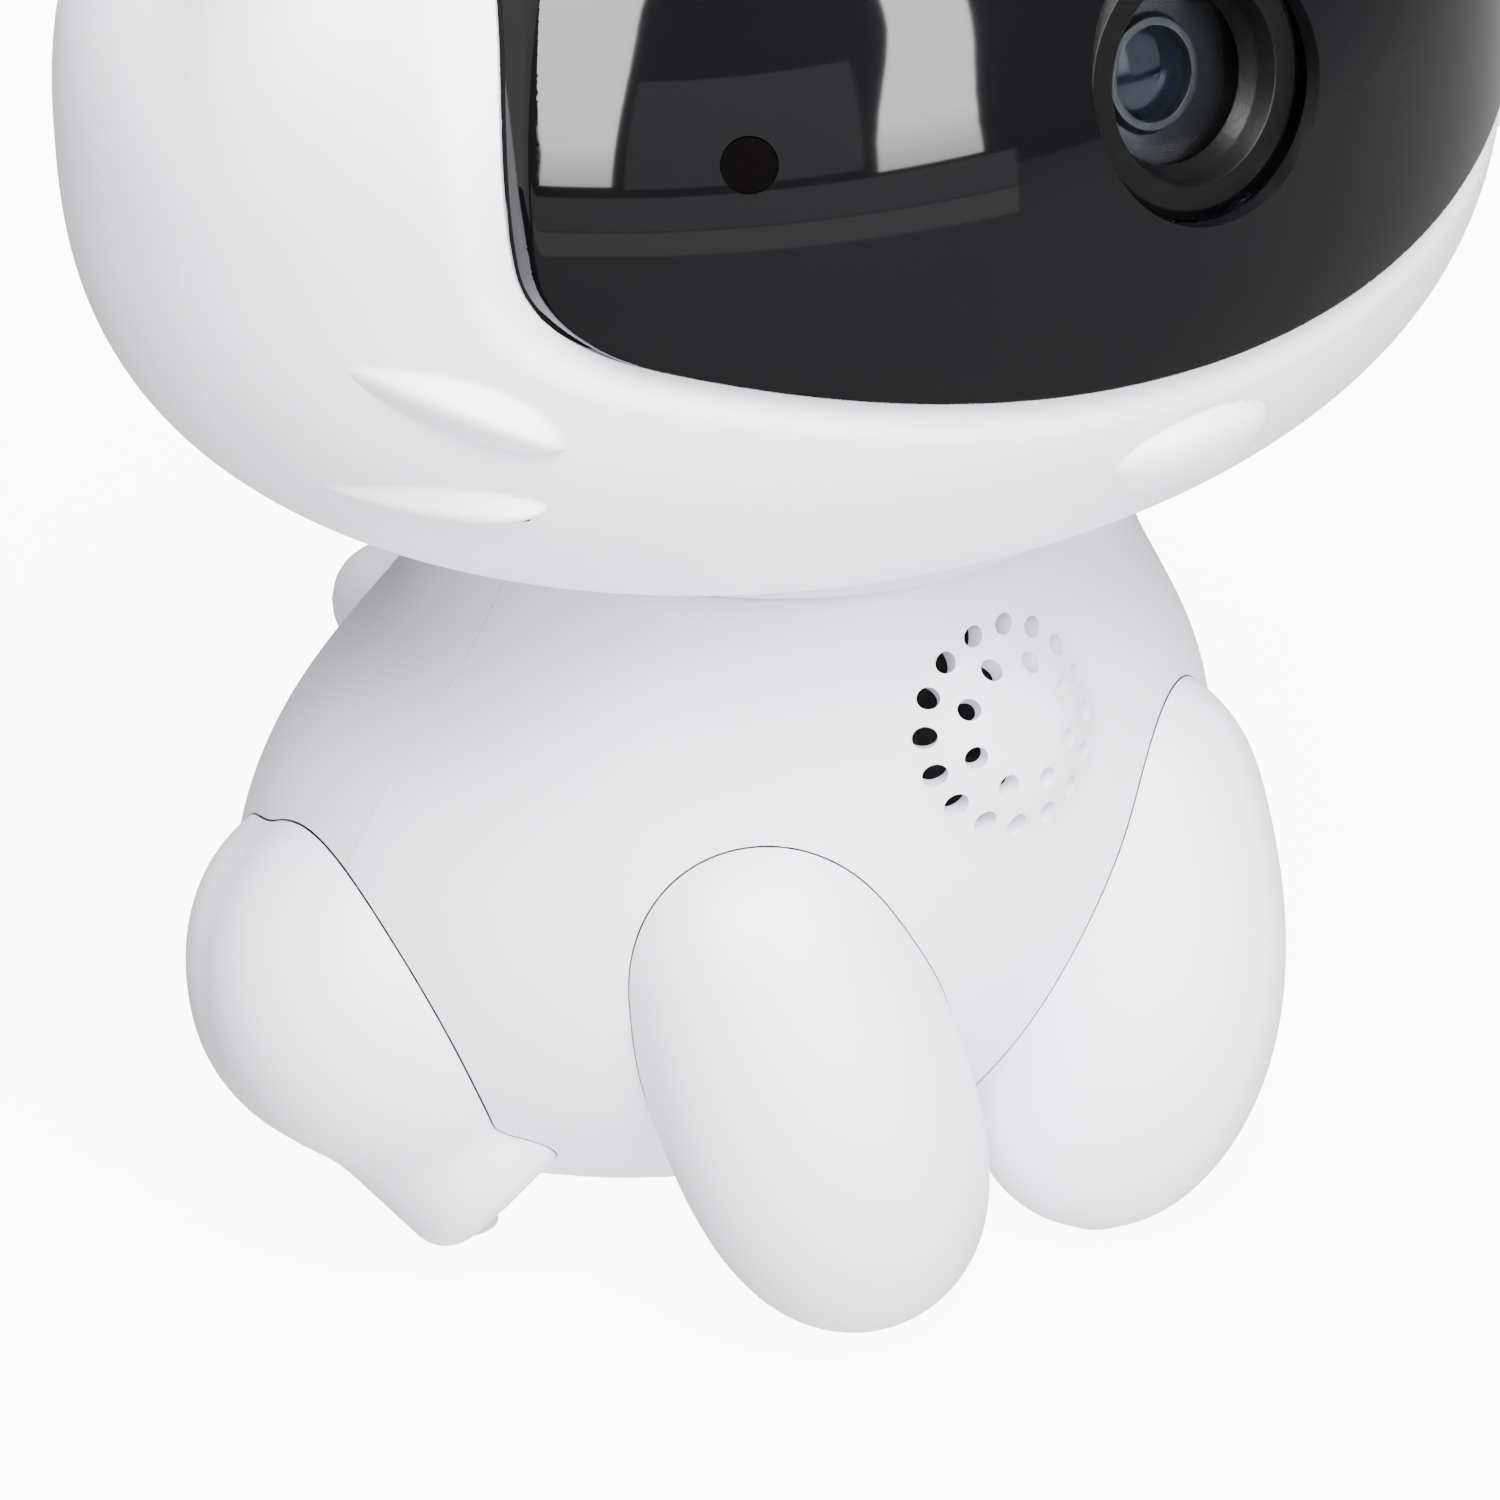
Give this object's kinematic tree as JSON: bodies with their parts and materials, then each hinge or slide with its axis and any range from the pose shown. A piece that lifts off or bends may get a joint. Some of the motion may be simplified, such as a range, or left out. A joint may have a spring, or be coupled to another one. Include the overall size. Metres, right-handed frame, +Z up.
{
  "type": "baby monitor camera",
  "caption": "Cat-shaped baby monitor camera with a black visor on a wide eared head that pans on a seated, pear-shaped body with a speaker dome, four legs and a tail.",
  "frame": {"origin": "on the floor under the pan axis, at the middle of the bounding box", "axes": "+Z up along the pan axis, -Y out of the face, +X to the right of a viewer who faces the camera"},
  "size_m": [0.112, 0.0997, 0.144],
  "materials": {
    "white_shell": "satin moulded white plastic",
    "grey_plastic": "fine-textured light grey plastic",
    "black_gloss": "polished black plastic",
    "black_foam": "closed-cell foam",
    "ir_window": "infrared-passing black plastic",
    "bezel_satin": "satin black plastic",
    "window_glass": "clear",
    "black_metal": "black anodised",
    "lens_glass": "coated lens glass",
    "black_plastic": "moulded black plastic",
    "filter_glass": "coated filter glass",
    "circuit_board": "solder-masked board",
    "sensor_glass": "sensor under cover glass",
    "led_epoxy": "tinted epoxy",
    "antenna_film": "etched foil on film",
    "acetal": "natural acetal",
    "spring_steel": "plated steel",
    "wire_jacket": "wire jacket",
    "motor_steel": "zinc-plated can",
    "speaker_cone": "coated paper cone in a black frame",
    "port_steel": "stamped steel",
    "button_grey": "satin grey plastic",
    "pad_rubber": "soft grey rubber"
  },
  "bodies": {
    "body": {"body_front_shell": "white_shell", "body_rear_shell": "white_shell", "tail": "white_shell", "front_leg_left": "white_shell", "front_leg_right": "white_shell", "rear_leg_left": "white_shell", "rear_leg_right": "white_shell", "neck_ring": "white_shell", "base_plate": "grey_plastic", "deck_plate": "grey_plastic", "neck_bush": "acetal", "thrust_washer": "acetal", "pan_motor": "motor_steel", "motor_screws": "spring_steel", "speaker": "speaker_cone", "speaker_gasket": "black_foam", "main_board": "circuit_board", "usb_inlet": "port_steel", "card_socket": "port_steel", "reset_switch": "black_plastic", "board_screws": "spring_steel", "foot_pads": "pad_rubber"},
    "head": {"head_front_shell": "white_shell", "head_rear_shell": "white_shell", "visor": "black_gloss", "visor_gasket": "black_foam", "ir_windows": "ir_window", "lens_bezel": "bezel_satin", "lens_window": "window_glass", "lens_barrel": "black_metal", "lens_glass": "lens_glass", "lens_holder": "black_plastic", "sensor_board": "circuit_board", "image_sensor": "sensor_glass", "camera_bracket": "black_plastic", "ir_leds": "led_epoxy", "ir_boards": "circuit_board", "wifi_antenna": "antenna_film", "pan_spindle": "acetal", "pan_gear": "acetal", "retaining_clip": "spring_steel", "wire_bundle": "wire_jacket", "spindle_screws": "spring_steel"},
    "pinion": {"motor_shaft": "spring_steel", "motor_pinion": "acetal"},
    "ir_filter": {"ir_cut_filter": "filter_glass"},
    "reset": {"reset_button": "button_grey"}
  },
  "joints": [
    {"name": "head_pan", "type": "hinge", "parent": "body", "child": "head", "pos_m": [0, 0, 0.06], "axis": [0, 0, 1], "range_deg": [-175, 175]},
    {"name": "pinion_spin", "type": "hinge", "parent": "body", "child": "pinion", "pos_m": [0, 0.01572, 0.055], "axis": [0, 0, 1], "range_deg": [-583.4, 583.4]},
    {"name": "ir_cut_slide", "type": "slide", "parent": "head", "child": "ir_filter", "axis": [1, 0, 0], "range_m": [0, 0.009]},
    {"name": "reset_press", "type": "slide", "parent": "body", "child": "reset", "axis": [0, 0, 1], "range_m": [0, 0.0005], "stiffness_N_per_m": 400, "springref_m": -0.0005}
  ],
  "couplings": [
    {"joint": "pinion_spin", "follows": "head_pan", "ratio": -3.3333}
  ]
}
